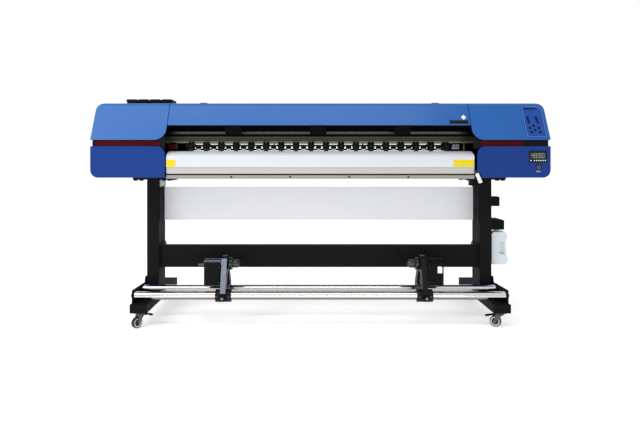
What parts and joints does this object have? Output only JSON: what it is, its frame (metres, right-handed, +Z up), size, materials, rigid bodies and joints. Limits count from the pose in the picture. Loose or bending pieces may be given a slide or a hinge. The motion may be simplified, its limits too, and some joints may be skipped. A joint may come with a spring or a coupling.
{
  "type": "printer cutter",
  "caption": "Roll-fed large-format printer on a caster stand, with a hinged hood, a travelling print carriage, side housings, open-top ink tanks, a waste bottle and a clamp-on take-up system.",
  "frame": {"origin": "on the floor, under the middle of the bounding box", "axes": "+X to the operator's right along the machine, +Y from the operator towards the back, +Z up"},
  "size_m": [2.676, 0.8, 1.4085],
  "materials": {
    "cover_blue": "satin paint",
    "frame_black": "textured powder coat",
    "plastic_black": "fine texture",
    "sheet_white": "satin",
    "aluminium": "extruded, satin",
    "chrome": "polished tube",
    "steel": "ground",
    "rubber": "matte",
    "wheel": "matte tyre on a light plastic rim",
    "bottle_plastic": "translucent blow-moulded",
    "grip_plastic": "smooth",
    "panel": "membrane",
    "display": "glossy bezel"
  },
  "bodies": {
    "machine": {"left_leg": "frame_black", "left_foot": "frame_black", "right_leg": "frame_black", "right_foot": "frame_black", "cross_beam": "frame_black", "media_guide_plate": "sheet_white", "base_beam": "frame_black", "gantry_beam": "aluminium", "guide_rail": "steel", "print_platen": "sheet_white", "platen_apron": "aluminium", "rear_platen": "sheet_white", "carriage_belt": "rubber", "carriage_motor": "frame_black", "left_upper_cover": "cover_blue", "left_lower_cover": "cover_blue", "left_end_frame": "frame_black", "right_upper_cover": "cover_blue", "right_lower_cover": "cover_blue", "right_end_frame": "frame_black", "rear_cover": "cover_blue", "keypad_panel": "panel", "display_panel": "display", "ink_tanks": "plastic_black", "waste_bracket": "plastic_black", "waste_bottle": "bottle_plastic", "front_takeup_tube": "chrome", "rear_takeup_tube": "chrome"},
    "hood": {"front_hood": "cover_blue"},
    "carriage_unit": {"carriage": "plastic_black", "print_heads": "steel"},
    "drive_pulley": {"belt_pulley": "aluminium"},
    "feed_roller_body": {"feed_roller": "steel"},
    "pinch_frame": {"pinch_arms": "plastic_black"},
    "pinch_roller_set": {"pinch_rollers": "rubber"},
    "lever": {"pinch_lever": "grip_plastic"},
    "capping": {"capping_station": "plastic_black"},
    "power": {"power_button": "steel"},
    "lid_1": {"ink_lid_1": "plastic_black"},
    "lid_2": {"ink_lid_2": "plastic_black"},
    "lid_3": {"ink_lid_3": "plastic_black"},
    "lid_4": {"ink_lid_4": "plastic_black"},
    "left_takeup": {"left_takeup_arm": "aluminium", "left_takeup_motor": "plastic_black"},
    "left_chuck": {"left_core_chuck": "plastic_black"},
    "left_knob": {"left_clamp_knob": "plastic_black"},
    "right_takeup": {"right_takeup_arm": "aluminium", "right_takeup_motor": "plastic_black"},
    "right_chuck": {"right_core_chuck": "plastic_black"},
    "right_knob": {"right_clamp_knob": "plastic_black"},
    "caster_front_left": {"caster_fork_front_left": "steel"},
    "wheel_front_left": {"caster_wheel_front_left": "wheel"},
    "brake_front_left": {"caster_brake_front_left": "plastic_black"},
    "caster_front_right": {"caster_fork_front_right": "steel"},
    "wheel_front_right": {"caster_wheel_front_right": "wheel"},
    "brake_front_right": {"caster_brake_front_right": "plastic_black"},
    "caster_rear_left": {"caster_fork_rear_left": "steel"},
    "wheel_rear_left": {"caster_wheel_rear_left": "wheel"},
    "caster_rear_right": {"caster_fork_rear_right": "steel"},
    "wheel_rear_right": {"caster_wheel_rear_right": "wheel"}
  },
  "joints": [
    {"name": "front_left_swivel", "type": "hinge", "parent": "machine", "child": "caster_front_left", "pos_m": [-1.066, -0.33, 0.088], "axis": [0, 0, 1], "continuous": true},
    {"name": "front_left_wheel_spin", "type": "hinge", "parent": "caster_front_left", "child": "wheel_front_left", "pos_m": [-1.08069, -0.35023, 0.0325], "axis": [0.809, -0.5878, 0], "continuous": true},
    {"name": "front_left_brake", "type": "hinge", "parent": "caster_front_left", "child": "brake_front_left", "pos_m": [-1.04925, -0.30694, 0.07], "axis": [-0.809, 0.5878, 0], "range_deg": [0, 8]},
    {"name": "front_right_swivel", "type": "hinge", "parent": "machine", "child": "caster_front_right", "pos_m": [1.066, -0.33, 0.088], "axis": [0, 0, 1], "continuous": true},
    {"name": "front_right_wheel_spin", "type": "hinge", "parent": "caster_front_right", "child": "wheel_front_right", "pos_m": [1.0448, -0.31675, 0.0325], "axis": [-0.5299, -0.848, 0], "continuous": true},
    {"name": "front_right_brake", "type": "hinge", "parent": "caster_front_right", "child": "brake_front_right", "pos_m": [1.04183, -0.3149, 0.07], "axis": [-0.5299, -0.848, 0], "range_deg": [0, 8]},
    {"name": "rear_left_swivel", "type": "hinge", "parent": "machine", "child": "caster_rear_left", "pos_m": [-1.066, 0.33, 0.088], "axis": [0, 0, 1], "continuous": true},
    {"name": "rear_left_wheel_spin", "type": "hinge", "parent": "caster_rear_left", "child": "wheel_rear_left", "pos_m": [-1.08949, 0.32145, 0.0325], "axis": [0.342, -0.9397, 0], "continuous": true},
    {"name": "rear_right_swivel", "type": "hinge", "parent": "machine", "child": "caster_rear_right", "pos_m": [1.066, 0.33, 0.088], "axis": [0, 0, 1], "continuous": true},
    {"name": "rear_right_wheel_spin", "type": "hinge", "parent": "caster_rear_right", "child": "wheel_rear_right", "pos_m": [1.08765, 0.3175, 0.0325], "axis": [0.5, 0.866, 0], "continuous": true},
    {"name": "hood_hinge", "type": "hinge", "parent": "machine", "child": "hood", "pos_m": [0, -0.118, 1.342], "axis": [-1, 0, 0], "range_deg": [0, 80]},
    {"name": "carriage_travel", "type": "slide", "parent": "machine", "child": "carriage_unit", "axis": [1, 0, 0], "range_m": [-2.1, 0]},
    {"name": "pulley_spin", "type": "hinge", "parent": "machine", "child": "drive_pulley", "pos_m": [1.27, -0.2435, 1.234], "axis": [0, 1, 0], "continuous": true},
    {"name": "feed_spin", "type": "hinge", "parent": "machine", "child": "feed_roller_body", "pos_m": [0, -0.262, 1.028], "axis": [1, 0, 0], "continuous": true},
    {"name": "pinch_lever_swing", "type": "hinge", "parent": "machine", "child": "lever", "pos_m": [0.9, -0.345, 0.937], "axis": [1, 0, 0], "range_deg": [0, 35]},
    {"name": "pinch_lift", "type": "hinge", "parent": "machine", "child": "pinch_frame", "pos_m": [0, -0.215, 1.079], "axis": [-1, 0, 0], "range_deg": [0, 6]},
    {"name": "pinch_spin", "type": "hinge", "parent": "pinch_frame", "child": "pinch_roller_set", "pos_m": [0, -0.262, 1.0526], "axis": [1, 0, 0], "continuous": true},
    {"name": "capping_drop", "type": "slide", "parent": "machine", "child": "capping", "axis": [0, 0, 1], "range_m": [-0.012, 0]},
    {"name": "ink_lid_1_hinge", "type": "hinge", "parent": "machine", "child": "lid_1", "pos_m": [-1.287, 0.33, 1.3945], "axis": [-1, 0, 0], "range_deg": [0, 100]},
    {"name": "ink_lid_2_hinge", "type": "hinge", "parent": "machine", "child": "lid_2", "pos_m": [-1.2064, 0.33, 1.3945], "axis": [-1, 0, 0], "range_deg": [0, 100]},
    {"name": "ink_lid_3_hinge", "type": "hinge", "parent": "machine", "child": "lid_3", "pos_m": [-1.1258, 0.33, 1.3945], "axis": [-1, 0, 0], "range_deg": [0, 100]},
    {"name": "ink_lid_4_hinge", "type": "hinge", "parent": "machine", "child": "lid_4", "pos_m": [-1.0452, 0.33, 1.3945], "axis": [-1, 0, 0], "range_deg": [0, 100]},
    {"name": "power_press", "type": "slide", "parent": "machine", "child": "power", "axis": [0, 1, 0], "range_m": [0, 0.0018], "stiffness_N_per_m": 400},
    {"name": "left_takeup_slide", "type": "slide", "parent": "machine", "child": "left_takeup", "axis": [1, 0, 0], "range_m": [-0.24, 0.45]},
    {"name": "left_chuck_spin", "type": "hinge", "parent": "left_takeup", "child": "left_chuck", "pos_m": [-0.575, -0.232, 0.357], "axis": [1, 0, 0], "continuous": true},
    {"name": "left_knob_turn", "type": "hinge", "parent": "left_takeup", "child": "left_knob", "pos_m": [-0.575, -0.36, 0.178], "axis": [0, 1, 0], "continuous": true},
    {"name": "right_takeup_slide", "type": "slide", "parent": "machine", "child": "right_takeup", "axis": [1, 0, 0], "range_m": [-0.45, 0.2]},
    {"name": "right_chuck_spin", "type": "hinge", "parent": "right_takeup", "child": "right_chuck", "pos_m": [0.622, -0.232, 0.357], "axis": [1, 0, 0], "continuous": true},
    {"name": "right_knob_turn", "type": "hinge", "parent": "right_takeup", "child": "right_knob", "pos_m": [0.622, -0.36, 0.178], "axis": [0, 1, 0], "continuous": true}
  ],
  "couplings": [
    {"joint": "pulley_spin", "follows": "carriage_travel", "rad_per_m": -61.73},
    {"joint": "pinch_spin", "follows": "feed_spin", "ratio": -1.6667},
    {"joint": "pinch_lift", "follows": "pinch_lever_swing", "ratio": 0.17143}
  ]
}
